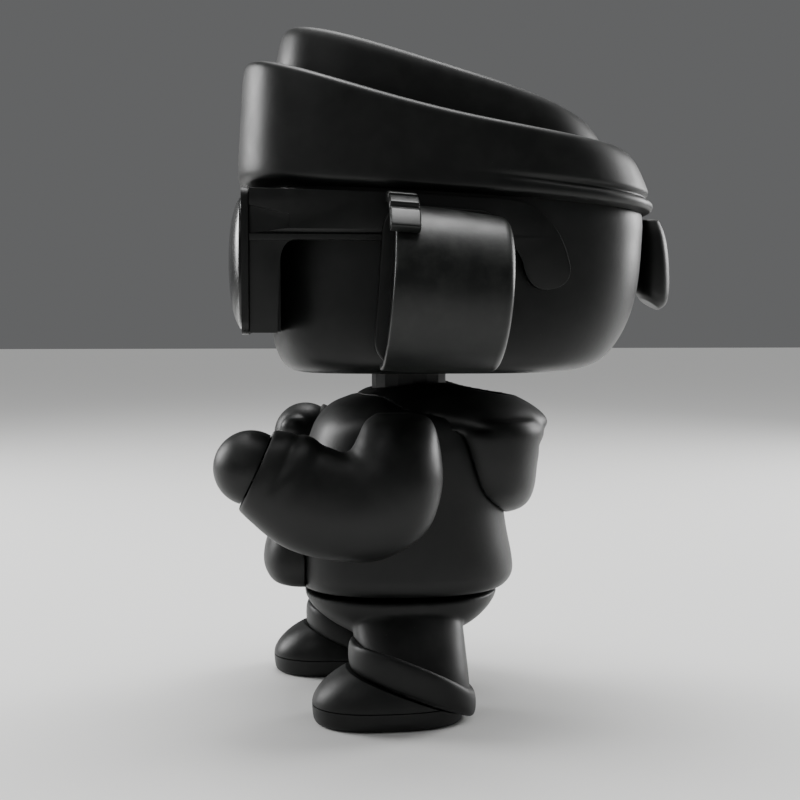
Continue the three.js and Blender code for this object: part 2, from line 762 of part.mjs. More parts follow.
// ---------- trousers and shoes ----------
const PELVIS_ROWS = [
  [15, 13, -10, 5],
  [17, 19, -16.5, 11],
  [20, 23.5, -22, 17],
  [23, 26.5, -27, 22],
  [26.5, 28.5, -31.3, 25.6],
  [29.5, 29, -33.4, 27.6],
  [PELVIS_TOP, 29, -34, 28.4],
];

function pelvisSolid(distance = 0, detail = {}) {
  return tower(offsetRows(PELVIS_ROWS, distance), { middle: -3, levels: 8, ...detail });
}

function pelvis() {
  const hole = solidOf(turned(pegProfile([[WAIST_RADIUS + GAP, 20]]))).translate([0, 0, PELVIS_TOP - 12]);
  const lowHole = solidOf(turned(pegProfile([[3, 12]]))).translate([0, -3, 10]);
  return cut(pelvisSolid(), pelvisSolid(-WALL, INSIDE), hole, lowHole);
}

function waistPeg() {
  const low = PELVIS_TOP - WALL - 3;
  const profile = pegProfile([
    [13, 2.6],
    [WAIST_RADIUS, TORSO_BASE + WALL + 0.4 - low],
    [WAIST_RADIUS + 1.4, TORSO_BASE + WALL + 3 - low],
  ]);
  return solidOf(turned(profile)).translate([0, 0, low]);
}

// The lower a row of the leg, the more of the foot's step it takes.
function stepAt(height, step) {
  return step * THREE.MathUtils.clamp(1 - (height - 4) / 26, 0, 1);
}

const LEG_ROWS = [
  [-4, 14, -19.5, 15.3, FOOT_X],
  [3, 14.3, -19.8, 15.4, FOOT_X - 0.3],
  [10, 14.5, -19.6, 15.1, FOOT_X - 1.2],
  [16, 14.5, -19, 14.6, FOOT_X - 3],
  [22, 13.8, -18, 13.6, FOOT_X - 6],
  [30, 12, -16.5, 12, FOOT_X - 12],
];

function legSolid(step, distance = 0) {
  const rows = LEG_ROWS.map(([height, half, front, back, x]) => {
    const shift = stepAt(height, step);
    return [height, half + distance, front + shift - distance, back + shift + distance, x];
  });
  return tower(rows, { middle: -2.5 + step / 2, levels: 6, sides: 20 });
}

// Everything above the slanting bottom of the trousers.
function aboveTrouserBottom(step, lift) {
  const length = 140;
  const slab = new THREE.BoxGeometry(100, length, 60);
  slab.translate(0, 0, 30);
  slab.rotateX(Math.atan(TROUSER_SLOPE));
  slab.translate(FOOT_X, TROUSER_FRONT_Y + step, TROUSER_FRONT_Z + lift);
  return solidOf(slab);
}

function leg(step) {
  return legSolid(step).intersect(aboveTrouserBottom(step, GAP / 2)).subtract(pelvisSolid(GAP))
    .intersect(block(0, 60, -60, 40, FLOOR_Z + 0.9, PELVIS_TOP - 1));
}

// The turned-up cuff: higher in front, low at the heel and lifted on the outer side.
function trouserCuff(step) {
  const centreY = -2.2 + step;
  const reach = 18;
  const heightAt = (share, x, y) => {
    const forward = THREE.MathUtils.clamp((centreY - y) / reach, -1, 1);
    const outward = THREE.MathUtils.clamp((x - FOOT_X) / 15, 0, 1);
    const low = 4.7 + 7.3 * forward + 1.6 * outward * outward;
    const high = 13.4 + 7.6 * forward + 4 * outward * outward;
    return THREE.MathUtils.lerp(low, high, share);
  };
  const half = 14.2 + CUFF_THICKNESS;
  const front = -19.6 + step - CUFF_THICKNESS;
  const back = 15.3 + step + CUFF_THICKNESS;
  const x = FOOT_X - 1.5;
  const rows = [
    [0, half - 1, front + 1, back - 1, x],
    [0.12, half - 0.1, front + 0.1, back - 0.1, x],
    [0.5, half + 0.2, front - 0.2, back + 0.2, x],
    [0.88, half - 0.2, front + 0.2, back - 0.2, x],
    [1, half - 0.9, front + 0.9, back - 0.9, x],
  ];
  const ring = tower(rows, { middle: -2.5 + step, heightAt, levels: 4, sides: 20 });
  return cut(ring, legSolid(step, GAP), shoeSolid(step, GAP), pelvisSolid(GAP));
}

const SHOE_ROWS = [
  [FLOOR_Z, 13, -30.8, 11.5],
  [FLOOR_Z + 1.2, 14.3, -32.2, 12.8],
  [SOLE_TOP, 14.6, -32.7, 13.2],
  [5, 14.3, -32, 13],
  [8, 13.4, -29.8, 12.4],
  [11, 11.6, -26.2, 11],
  [13.5, 9, -21.7, 8.5],
  [15.5, 5, -16, 4],
];

function shoeSolid(step, distance = 0) {
  const rows = SHOE_ROWS.map(([height, half, front, back]) => [height, half, front + step, back + step, FOOT_X]);
  const placed = offsetRows(rows, distance);
  placed[0][0] = FLOOR_Z;
  return tower(placed, { middle: -12 + step, frontPower: 2.3, backPower: 2.6, levels: 7, sides: 24 });
}

function shoe(step) {
  const upper = block(0, 90, -60, 40, SOLE_TOP + GAP, 30);
  return shoeSolid(step).intersect(upper).subtract(aboveTrouserBottom(step, -GAP / 2));
}

function sole(step) {
  const lower = block(0, 90, -60, 40, FLOOR_Z - 1, SOLE_TOP);
  return shoeSolid(step).intersect(lower).subtract(aboveTrouserBottom(step, -GAP / 2));
}

// ---------- assembly ----------
addNode('pelvis', pelvis(), MATTE);
addNode('waist_peg', waistPeg(), PEG_PLASTIC);
for (const [side, step] of [['left', 0], ['right', FOOT_STEP]]) {
  const placed = side === 'left' ? (solid) => solid : mirrored;
  addNode(`${side}_leg`, placed(leg(step)), MATTE);
  addNode(`${side}_trouser_cuff`, placed(trouserCuff(step)), MATTE);
  addNode(`${side}_shoe`, placed(shoe(step)), SATIN);
  addNode(`${side}_sole`, placed(sole(step)), SATIN);
}

addNode('hoodie_body', hoodieBody(), SATIN);
addNode('hood', hood(), SATIN);
addNode('front_pocket', frontPocket(), SATIN);
addNode('neck_peg', neckPeg(), PEG_PLASTIC);
addPair('shoulder_peg', shoulderPeg(), PEG_PLASTIC);

for (const [side, rows] of [['left', LEFT_ARM_ROWS], ['right', RIGHT_ARM_ROWS]]) {
  const placed = side === 'left' ? (solid) => solid : mirrored;
  addNode(`${side}_sleeve`, placed(sleeve(rows)), SATIN);
  addNode(`${side}_wrist_peg`, placed(wristPeg(rows)), PEG_PLASTIC);
  addNode(`${side}_hand`, placed(hand(rows)), SATIN);
}

addNode('head_shell', head(), SATIN);
addNode('hat_band', hatBand(), SATIN);
addNode('hat_crown', hatCrown(), SATIN);
addNode('hat_tail', hatTail(), SATIN);
addPair('drum_post', drumPost(), PEG_PLASTIC);
addPair('drum_plate', drumPlate(), GLOSS);
addPair('drum_shell', drumShell(), DRUM_BLACK);
addPair('drum_grille', drumGrille(), GLOSS);
addPair('clamp_block', clampBlock(), DRUM_BLACK);

addNode('glasses_frame', glassesFrame(), GLOSS);
addPair('lens', lens(), GLOSS);
addPair('temple', temple(), GLOSS);

export default toy;
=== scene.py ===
"""Vinyl art toy: the looks of a standing street dancer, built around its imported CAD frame.

Shapes are drawn in millimetres about the neck's axis, as the CAD draws them: +Z up, the figure
faces -Y and its left side is +X. place() turns them into the row frame's metres.
"""

import math

import bmesh
import bpy
import numpy as np
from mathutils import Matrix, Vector


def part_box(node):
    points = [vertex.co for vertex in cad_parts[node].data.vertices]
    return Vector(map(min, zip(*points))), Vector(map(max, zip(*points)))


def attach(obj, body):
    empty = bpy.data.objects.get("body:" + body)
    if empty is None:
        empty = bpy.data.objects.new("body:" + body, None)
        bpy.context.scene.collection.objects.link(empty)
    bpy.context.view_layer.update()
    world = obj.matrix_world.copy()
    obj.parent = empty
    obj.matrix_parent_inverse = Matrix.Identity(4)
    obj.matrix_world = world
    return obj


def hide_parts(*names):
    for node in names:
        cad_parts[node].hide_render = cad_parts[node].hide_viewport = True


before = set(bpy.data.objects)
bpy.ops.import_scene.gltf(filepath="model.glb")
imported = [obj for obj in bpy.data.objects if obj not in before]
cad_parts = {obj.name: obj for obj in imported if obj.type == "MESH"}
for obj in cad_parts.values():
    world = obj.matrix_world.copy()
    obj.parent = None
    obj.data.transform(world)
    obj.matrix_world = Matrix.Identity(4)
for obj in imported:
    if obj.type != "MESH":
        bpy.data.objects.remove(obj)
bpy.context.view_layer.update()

# ---------- places taken from the frame ----------
MM = 0.001
FLOOR_Z = -3.3
NECK = sum(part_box("neck_peg"), Vector()) / 2
ORIGIN = np.array([0, NECK.y, -FLOOR_Z * MM])
SIDES = {"left": 1, "right": -1}


def drawn_box(node):
    """A CAD node's lowest and highest corners in the units the shapes are drawn in."""
    return [(np.array(corner) - ORIGIN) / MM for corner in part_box(node)]


HEAD_LOW = drawn_box("head_shell")[0][2]
HEAD_HALF = 42
HEAD_FRONT, HEAD_BACK = -44.5, 74
HEAD_MIDDLE = 16
HAT_HALF = 48
HAT_FRONT, HAT_BACK = -54, 76.5
GLASSES_LOW, GLASSES_HIGH = drawn_box("glasses_frame")[0][2], drawn_box("glasses_frame")[1][2]
GLASSES_FACE = drawn_box("glasses_frame")[0][1]
TEMPLE_IN, TEMPLE_OUT = drawn_box("left_temple")[0][0], drawn_box("left_temple")[1][0]
LENS_X = 22
LENS_Z = (GLASSES_LOW + GLASSES_HIGH) / 2
LENS_HALF = 19.5
LENS_BULGE = 4.2
DRUM_X, DRUM_Y, DRUM_Z = TEMPLE_OUT + 4.1, 4.4, 125.5
DRUM_TILT = math.radians(-4)
DRUM_FRONT_RADIUS, DRUM_REAR_RADIUS = 23.6, 22.2
DRUM_HALF_LENGTH = 16.5
DRUM_INNER = 48
GAP = 0.3
TORSO_LOW = drawn_box("hoodie_body")[0][2]
ARM_PLANE = drawn_box("left_sleeve")[0][0]
FOOT_X = 30
FOOT_STEP = {"left": 0, "right": -11}
SOLE_TOP = 2.3


# ---------- meshes ----------
def place(points):
    """Drawn millimetres to the row frame's metres."""
    return np.asarray(points, float) * MM + ORIGIN


def new_object(name, points, faces):
    mesh = bpy.data.meshes.new(name)
    mesh.from_pydata(place(points).tolist(), [], faces)
    mesh.validate()
    mesh.update()
    obj = bpy.data.objects.new(name, mesh)
    bpy.context.scene.collection.objects.link(obj)
    return obj


def drawn_points(obj):
    """The vertices of an object, back in drawn millimetres."""
    co = np.empty(len(obj.data.vertices) * 3, np.float32)
    obj.data.vertices.foreach_get("co", co)
    return (co.reshape(-1, 3).astype(float) - ORIGIN) / MM


def set_points(obj, points):
    obj.data.vertices.foreach_set("co", place(points).astype(np.float32).ravel())
    obj.data.update()


def normals_of(obj):
    normal = np.empty(len(obj.data.vertices) * 3, np.float32)
    obj.data.vertices.foreach_get("normal", normal)
    return normal.reshape(-1, 3).astype(float)


def apply_modifiers(obj):
    """Bakes an object's modifiers into its mesh."""
    bpy.context.view_layer.update()
    graph = bpy.context.evaluated_depsgraph_get()
    baked = bpy.data.meshes.new_from_object(obj.evaluated_get(graph))
    obj.modifiers.clear()
    old = obj.data
    obj.data = baked
    bpy.data.meshes.remove(old)
    return obj


def subdivide(obj, levels=1):
    modifier = obj.modifiers.new("smooth", "SUBSURF")
    modifier.levels = modifier.render_levels = levels
    return apply_modifiers(obj)


def bevel(obj, width, segments=3, angle=40):
    modifier = obj.modifiers.new("edge", "BEVEL")
    modifier.width = width * MM
    modifier.segments = segments
    modifier.limit_method = "ANGLE"
    modifier.angle_limit = math.radians(angle)
    modifier.harden_normals = False
    return apply_modifiers(obj)


def boolean(obj, tools, operation):
    for tool in tools:
        modifier = obj.modifiers.new("boolean", "BOOLEAN")
        modifier.operation = operation
        modifier.solver = "MANIFOLD"
        modifier.object = tool
        apply_modifiers(obj)
        bpy.data.objects.remove(tool)
    return obj


def cut(obj, *tools):
    return boolean(obj, tools, "DIFFERENCE")


def keep(obj, *tools):
    return boolean(obj, tools, "INTERSECT")


def remesh(obj, voxel, relax):
    """One even skin over overlapping shapes, with soft fillets where they meet."""
    modifier = obj.modifiers.new("skin", "REMESH")
    modifier.mode = "VOXEL"
    modifier.voxel_size = voxel * MM
    apply_modifiers(obj)
    modifier = obj.modifiers.new("relax", "SMOOTH")
    modifier.factor = 0.5
    modifier.iterations = relax
    return apply_modifiers(obj)


def joined(name, *parts):
    """One object holding the meshes of several."""
    points, faces = [], []
    for part in parts:
        start = sum(len(group) for group in points)
        points.append(drawn_points(part))
        faces += [[start + i for i in polygon.vertices] for polygon in part.data.polygons]
        bpy.data.objects.remove(part)
    return new_object(name, np.vstack(points), faces)


def displaced(obj, amount):
    """Moves each vertex along its normal by amount(points) millimetres."""
    points = drawn_points(obj)
    set_points(obj, points + normals_of(obj) * amount(points)[:, None])
    return obj


def flipped(obj, side):
    """Mirrors a piece drawn for the left when it is wanted on the right."""
    if SIDES[side] < 0:
        set_points(obj, drawn_points(obj) * np.array([-1, 1, 1]))
        obj.data.flip_normals()
    return obj


# ---------- shapes ----------
def smooth_rows(rows, count):
    """Rows of numbers read as one smooth curve, at count even steps."""
    table = np.array(rows, float)
    slope = np.gradient(table, axis=0)
    at = np.linspace(0, len(table) - 1, count)
    low = np.minimum(at.astype(int), len(table) - 2)
    t = (at - low)[:, None]
    a, b, ta, tb = table[low], table[low + 1], slope[low], slope[low + 1]
    return (
        (2 * t**3 - 3 * t**2 + 1) * a
        + (t**3 - 2 * t**2 + t) * ta
        + (3 * t**2 - 2 * t**3) * b
        + (t**3 - t**2) * tb
    )


def tower_rings(rows, middle=0, powers=(2.6, 2.4), sides=64, count=40, height_at=None):
    """Rings of an upright moulding. A row is [height, half width, front, back, middle x]."""
    rows = [list(row) + [0] * (5 - len(row)) for row in rows]
    height, half, front, back, x = (column[:, None] for column in smooth_rows(rows, count).T)
    angle = np.linspace(0, 2 * math.pi, sides, endpoint=False)[None, :]
    cosine, sine = np.cos(angle), np.sin(angle)
    centre = np.clip(middle, front + 1, back - 1)
    along = np.where(sine < 0, centre - front, back - centre)
    power = np.where(sine < 0, powers[0], powers[1])
    radius = (np.abs(cosine / half) ** power + np.abs(sine / along) ** power) ** (-1 / power)
    px, py = x + radius * cosine, centre + radius * sine
    pz = np.broadcast_to(height, px.shape)
    if height_at is not None:
        pz = height_at(pz, px, py)
    return np.stack([px, py, pz], axis=-1)


def limb_rings(rows, sides=48, count=48, power=2.15):
    """Rings of a bent limb. A row is [x, inner y, inner z, outer y, outer z, half width]."""
    x, inner_y, inner_z, outer_y, outer_z, half = (c[:, None] for c in smooth_rows(rows, count).T)
    angle = np.linspace(0, 2 * math.pi, sides, endpoint=False)[None, :]
    cosine, sine = np.cos(angle), np.sin(angle)
    round_out = (np.abs(cosine) ** power + np.abs(sine) ** power) ** (-1 / power)
    across, along = round_out * cosine, round_out * sine
    px = x - half * across
    py = (inner_y + outer_y) / 2 + (outer_y - inner_y) / 2 * along
    pz = (inner_z + outer_z) / 2 + (outer_z - inner_z) / 2 * along
    return np.stack([px, py, pz], axis=-1)


def cap_rings(ring):
    """Rings that close an end, shrinking towards its middle."""
    middle = ring.mean(axis=0)
    return [middle + (ring - middle) * share for share in (0.75, 0.45, 0.2)], middle


def skin(name, rings):
    """A closed surface over a stack of rings."""
    low, low_middle = cap_rings(rings[0])
    high, high_middle = cap_rings(rings[-1])
    stack = [*low[::-1], *rings, *high]
    sides = len(rings[0])
    faces = []
    for level in range(len(stack) - 1):
        for i in range(sides):
            a, b = level * sides + i, level * sides + (i + 1) % sides
            faces.append([a, b, b + sides, a + sides])
    points = np.vstack([*stack, low_middle[None], high_middle[None]])
    last = (len(stack) - 1) * sides
    for i in range(sides):
        faces.append([(i + 1) % sides, i, len(points) - 2])
        faces.append([last + i, last + (i + 1) % sides, len(points) - 1])
    return new_object(name, points, faces)


def hoop(name, rings):
    """A closed surface over rings that run round and back to the first one."""
    count, sides = len(rings), len(rings[0])
    faces = []
    for level in range(count):
        for i in range(sides):
            j = (i + 1) % sides
            after = (level + 1) % count
            faces.append([level * sides + i, level * sides + j, after * sides + j, after * sides + i])
    return new_object(name, np.vstack(rings), faces)


def tower(name, rows, levels=1, **options):
    return subdivide(skin(name, tower_rings(rows, **options)), levels)


def ellipsoid(name, centre, radii, sides=48):
    rows = []
    for angle in np.linspace(-math.pi / 2 + 0.12, math.pi / 2 - 0.12, 22):
        c, s = math.cos(angle), math.sin(angle)
        reach = radii[1] * c
        rows.append([centre[2] + radii[2] * s, radii[0] * c, centre[1] - reach, centre[1] + reach, centre[0]])
    rings = tower_rings(rows, middle=centre[1], powers=(2, 2), sides=sides, count=22)
    return skin(name, rings)


def box_object(name, low, high):
    corners = [[x, y, z] for x in (low[0], high[0]) for y in (low[1], high[1]) for z in (low[2], high[2])]
    faces = [[0, 1, 3, 2], [4, 6, 7, 5], [0, 4, 5, 1], [2, 3, 7, 6], [0, 2, 6, 4], [1, 5, 7, 3]]
    return new_object(name, corners, faces)


def prism(name, outline, axis, low, high):
    """A flat outline in the plane across an axis, given a thickness from low to high."""
    points = []
    for depth in (low, high):
        for a, b in outline:
            points.append([depth, a, b] if axis == "x" else [a, depth, b])
    count = len(outline)
    faces = [list(range(count)), list(range(2 * count - 1, count - 1, -1))]
    for i in range(count):
        j = (i + 1) % count
        faces.append([i, i + count, j + count, j])
    obj = new_object(name, points, faces)
    return face_outward(obj)


def face_outward(obj):
    work = bmesh.new()
    work.from_mesh(obj.data)
    bmesh.ops.recalc_face_normals(work, faces=work.faces)
    work.to_mesh(obj.data)
    work.free()
    return obj


def turned(name, profile, start, axis, sides=48):
    """A turned piece: profile points are [radius, distance along the axis], from axis to axis."""
    axis = Vector(axis).normalized()
    side = axis.orthogonal().normalized()
    other = axis.cross(side)
    inner = [row for row in profile if row[0] > 1e-6]
    rings = []
    for radius, along in inner:
        ring = []
        for k in range(sides):
            angle = 2 * math.pi * k / sides
            out = side * math.cos(angle) + other * math.sin(angle)
            ring.append(Vector(start) + axis * along + out * radius)
        rings.append(np.array(ring))
    points = [*rings]
    faces = []
    for level in range(len(rings) - 1):
        near, far = level * sides, (level + 1) * sides
        for i in range(sides):
            j = (i + 1) % sides
            faces.append([near + i, near + j, far + j, far + i])
    poles = [Vector(start) + axis * profile[0][1], Vector(start) + axis * profile[-1][1]]
    points.append(np.array(poles))
    base = len(rings) * sides
    last = (len(rings) - 1) * sides
    for i in range(sides):
        faces.append([(i + 1) % sides, i, base])
        faces.append([last + i, last + (i + 1) % sides, base + 1])
    return face_outward(new_object(name, np.vstack(points), faces))


def tube(name, path, radius, sides=10):
    """A round bar along a path, as a tool that cuts a crisp line into a surface."""
    path = [Vector(point) for point in path]
    rings = []
    for i, point in enumerate(path):
        along = (path[min(i + 1, len(path) - 1)] - path[max(i - 1, 0)]).normalized()
        side = along.cross(Vector((0.3, 0.5, 0.8))).normalized()
        other = along.cross(side)
        rings.append(
            np.array([
                point + (side * math.cos(a) + other * math.sin(a)) * radius
                for a in (2 * math.pi * k / sides for k in range(sides))
            ])
        )
    return face_outward(skin(name, np.array(rings)))


def curve(points, count=24):
    """A smooth path through a few points."""
    return smooth_rows(points, count)


def distance_to(points, path):
    """Distance from each point to a path given as close points."""
    best = np.full(len(points), np.inf)
    for start, end in zip(path[:-1], path[1:]):
        step = end - start
        share = np.clip((points - start) @ step / (step @ step), 0, 1)
        best = np.minimum(best, np.linalg.norm(points - start - share[:, None] * step, axis=1))
    return best


def crease(points, path, width, depth):
    """How far a soft crease along a path moves each point: negative depth makes a ridge."""
    path = curve(path)
    return -depth * np.exp(-((distance_to(points, path) / width) ** 2))


def fade(values, start, end):
    """0 before start, 1 after end, and smooth between."""
    t = np.clip((values - start) / (end - start), 0, 1)
    return t * t * (3 - 2 * t)


# ---------- materials ----------
def vinyl(name, color, roughness, dust=0.5, peel=0.5, coat=0.0):
    """Black moulded vinyl: faint orange peel, uneven sheen, a film of dust on top and stray specks."""
    material = bpy.data.materials.new(name)
    material.use_nodes = True
    tree = material.node_tree
    nodes, link = tree.nodes, tree.links.new
    shader = nodes["Principled BSDF"]
    place_at = nodes.new("ShaderNodeTexCoord").outputs["Object"]

    def noise(scale, detail, rough=0.5):
        node = nodes.new("ShaderNodeTexNoise")
        node.inputs["Scale"].default_value = scale
        node.inputs["Detail"].default_value = detail
        node.inputs["Roughness"].default_value = rough
        link(place_at, node.inputs["Vector"])
        return node.outputs["Fac"]

    def remap(value, low, high, to_low, to_high):
        node = nodes.new("ShaderNodeMapRange")
        for socket, number in zip(("From Min", "From Max", "To Min", "To Max"), (low, high, to_low, to_high)):
            node.inputs[socket].default_value = number
        link(value, node.inputs["Value"])
        return node.outputs["Result"]

    def maths(operation, first, second):
        node = nodes.new("ShaderNodeMath")
        node.operation = operation
        for socket, value in zip(node.inputs, (first, second)):
            if isinstance(value, (int, float)):
                socket.default_value = value
            else:
                link(value, socket)
        return node.outputs["Value"]

    specks = nodes.new("ShaderNodeTexVoronoi")
    specks.inputs["Scale"].default_value = 420
    specks.inputs["Randomness"].default_value = 1
    link(place_at, specks.inputs["Vector"])
    speck = remap(specks.outputs["Distance"], 0.03, 0.075, 1, 0)
    where = remap(noise(55, 2), 0.56, 0.66, 0, 1)
    normal = nodes.new("ShaderNodeNewGeometry").outputs["Normal"]
    split = nodes.new("ShaderNodeSeparateXYZ")
    link(normal, split.inputs["Vector"])
    upward = remap(split.outputs["Z"], -0.2, 0.9, 0.25, 1)
    film = maths("MULTIPLY", remap(noise(140, 6, 0.65), 0.42, 0.72, 0, 1), upward)
    specks_shown = maths("MULTIPLY", maths("MULTIPLY", speck, where), upward)
    dirt = maths("ADD", maths("MULTIPLY", film, 0.09 * dust), maths("MULTIPLY", specks_shown, 0.55 * dust))

    mix = nodes.new("ShaderNodeMix")
    mix.data_type = "RGBA"
    mix.inputs["A"].default_value = (*color, 1)
    mix.inputs["B"].default_value = (0.17, 0.18, 0.165, 1)
    link(dirt, mix.inputs["Factor"])
    link(mix.outputs["Result"], shader.inputs["Base Color"])

    uneven = remap(noise(38, 3), 0.3, 0.7, roughness - 0.05, roughness + 0.06)
    sheen = maths("ADD", uneven, maths("MULTIPLY", film, 0.1))
    link(maths("ADD", sheen, maths("MULTIPLY", noise(900, 2), 0.04)), shader.inputs["Roughness"])
    shader.inputs["IOR"].default_value = 1.38
    shader.inputs["Coat Weight"].default_value = coat
    shader.inputs["Coat Roughness"].default_value = 0.18

    bump = nodes.new("ShaderNodeBump")
    bump.inputs["Strength"].default_value = 0.35 * peel
    bump.inputs["Distance"].default_value = 0.00012
    relief = maths("ADD", noise(620, 3), maths("MULTIPLY", noise(2300, 2), 0.4))
    link(maths("ADD", relief, maths("MULTIPLY", specks_shown, 1.5)), bump.inputs["Height"])
    link(bump.outputs["Normal"], shader.inputs["Normal"])
    return material


MATERIALS = {
    "hoodie": vinyl("hoodie_vinyl", (0.0042, 0.0047, 0.0044), 0.41),
    "trousers": vinyl("trouser_vinyl", (0.0038, 0.0043, 0.004), 0.45),
    "shoes": vinyl("shoe_vinyl", (0.0042, 0.0047, 0.0044), 0.41, dust=0.7),
    "skin": vinyl("skin_vinyl", (0.0042, 0.0048, 0.0045), 0.4, dust=0.6),
    "hat": vinyl("hat_vinyl", (0.004, 0.0045, 0.0042), 0.42, dust=0.6),
    # Painted highlight: the drums are the same black vinyl as the rest, but their base colour is painted
    # lighter to stand in for the overhead light on their tops. The stronger dust film and specks are the real
    # dust on the drum tops.
    "drum": vinyl("drum_vinyl_painted_highlight", (0.0075, 0.0084, 0.0079), 0.33, dust=1.5, peel=0.4),
    "grille": vinyl("grille_vinyl", (0.006, 0.0066, 0.0062), 0.34, dust=1.2),
    "glasses": vinyl("glasses_vinyl", (0.004, 0.0045, 0.0042), 0.36, dust=0.5, peel=0.3),
    "lens": vinyl("lens_vinyl", (0.003, 0.0035, 0.0033), 0.2, dust=0.25, peel=0.12, coat=0.4),
    "pegs": vinyl("peg_vinyl", (0.006, 0.006, 0.006), 0.5, dust=0.2),
}


def dress(obj, slot, body, *nodes, sharp=38):
    """Gives a finished piece its material and its place in the frame."""
    obj.data.materials.clear()
    obj.data.materials.append(MATERIALS[slot])
    for polygon in obj.data.polygons:
        polygon.use_smooth = True
        polygon.material_index = 0
    obj.data.set_sharp_from_angle(angle=math.radians(sharp))
    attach(obj, body)
    if nodes:
        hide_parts(*nodes)
    return obj


def paired(make, name, slot, body, node, **options):
    """Makes a piece for the left side, and its mirror image for the right."""
    for side in SIDES:
        obj = flipped(make(f"{side}_{name}"), side)
        dress(obj, slot, body, f"{side}_{node}", **options)


# ---------- head ----------
HEAD_ROWS = [
    [HEAD_LOW, HEAD_HALF - 8, -35, 47],
    [HEAD_LOW + 1, HEAD_HALF - 4, -38.5, 54],
    [105, HEAD_HALF - 1.6, -41, 60.5],
    [110, HEAD_HALF - 0.5, -43, 65.5],
    [118, HEAD_HALF, -44.3, 70],
    [128, HEAD_HALF, HEAD_FRONT, 72.8],
    [140, HEAD_HALF, HEAD_FRONT, HEAD_BACK],
    [151, HEAD_HALF, HEAD_FRONT, HEAD_BACK],
    [160, HEAD_HALF - 1, HEAD_FRONT + 1, HEAD_BACK - 4],
    [167, HEAD_HALF - 5, HEAD_FRONT + 5, HEAD_BACK - 11],
    [170, HEAD_HALF - 13, HEAD_FRONT + 13, HEAD_BACK - 24],
]

HEAD_SHAPE = {"middle": HEAD_MIDDLE, "powers": (4, 2.5), "sides": 72}
HEAD_CLEARANCE = 0.4


def grown(rows, distance):
    """Rows of an upright moulding with its outline moved outwards."""
    return [[row[0], row[1] + distance, row[2] - distance, row[3] + distance, *row[4:]] for row in rows]


def head_height(height, x, y):
    return height - 0.14 * fade(height, 150, 170) * (y - HEAD_MIDDLE)


def head_form(name, distance=0, count=60):
    rows = grown(HEAD_ROWS, distance)
    return tower(name, rows, count=count, height_at=head_height, **HEAD_SHAPE)


def face_line(points):
    """A crisp line pressed into the face: points are [x, depth behind the face plane, z]."""
    path = curve([[x, HEAD_FRONT + back, z] for x, back, z in points], 28)
    return tube("line", path, 0.45)


def make_head():
    head = head_form("head_form")
    lines = []
    for sign in (1, -1):
        lid = [[9, 0.05, 133.6], [13.5, 0.02, 130.8], [19, 0.1, 129.6], [24.5, 0.3, 130.8], [29, 0.75, 133.6]]
        lines.append(face_line([[sign * x, back, z] for x, back, z in lid]))
    nose = [[-3.6, 0.1, 120.4], [-2.4, 0.1, 118.4], [0, 0.1, 117.7], [2.4, 0.1, 118.4], [3.6, 0.1, 120.4]]
    mouth = [[-8, 2.1, 108.2], [-4, 2.05, 107.5], [0, 2.0, 107.3], [4, 2.05, 107.5], [8, 2.1, 108.2]]
    lines += [face_line(nose), face_line(mouth)]
    neck_hole = turned("neck_hole", [[0, 0], [9.4, 0], [9.4, 6], [0, 6]], (0, 0, HEAD_LOW - 2), (0, 0, 1))
    cut(head, *lines, neck_hole)
    dress(head, "skin", "head", "head_shell", sharp=50)


# ---------- hat ----------
def brim_height(y):
    return 155 - 0.055 * y


def ledge_height(y):
    return 179.3 - 0.2355 * y + 0.00154 * y * y


def crown_height(y):
    return 195.2 - 0.29 * y


BAND_ROWS = [
    [-0.02, HAT_HALF - 4.6, HAT_FRONT + 6.6, HAT_BACK - 2.2],
    [0, HAT_HALF - 2.5, HAT_FRONT + 3.5, HAT_BACK - 1.3],
    [0.03, HAT_HALF - 0.5, HAT_FRONT + 1, HAT_BACK - 0.3],
    [0.1, HAT_HALF, HAT_FRONT, HAT_BACK],
    [0.3, HAT_HALF - 0.3, HAT_FRONT + 0.2, HAT_BACK - 0.9],
    [0.55, HAT_HALF - 0.6, HAT_FRONT + 0.8, HAT_BACK - 2.9],
    [0.8, HAT_HALF - 1, HAT_FRONT + 1.4, HAT_BACK - 5.7],
    [0.95, HAT_HALF - 1.8, HAT_FRONT + 2.4, HAT_BACK - 9.2],
    [1, HAT_HALF - 4.5, HAT_FRONT + 6, HAT_BACK - 13.7],
]

CROWN_ROWS = [
    [-0.2, 38, -42.8, 61.5],
    [0, 38, -42.8, 61.5],
    [0.45, 37.2, -41.8, 59.5],
    [0.8, 36, -40.4, 56.5],
    [0.95, 34, -38, 52],
    [1, 29, -32, 45],
]


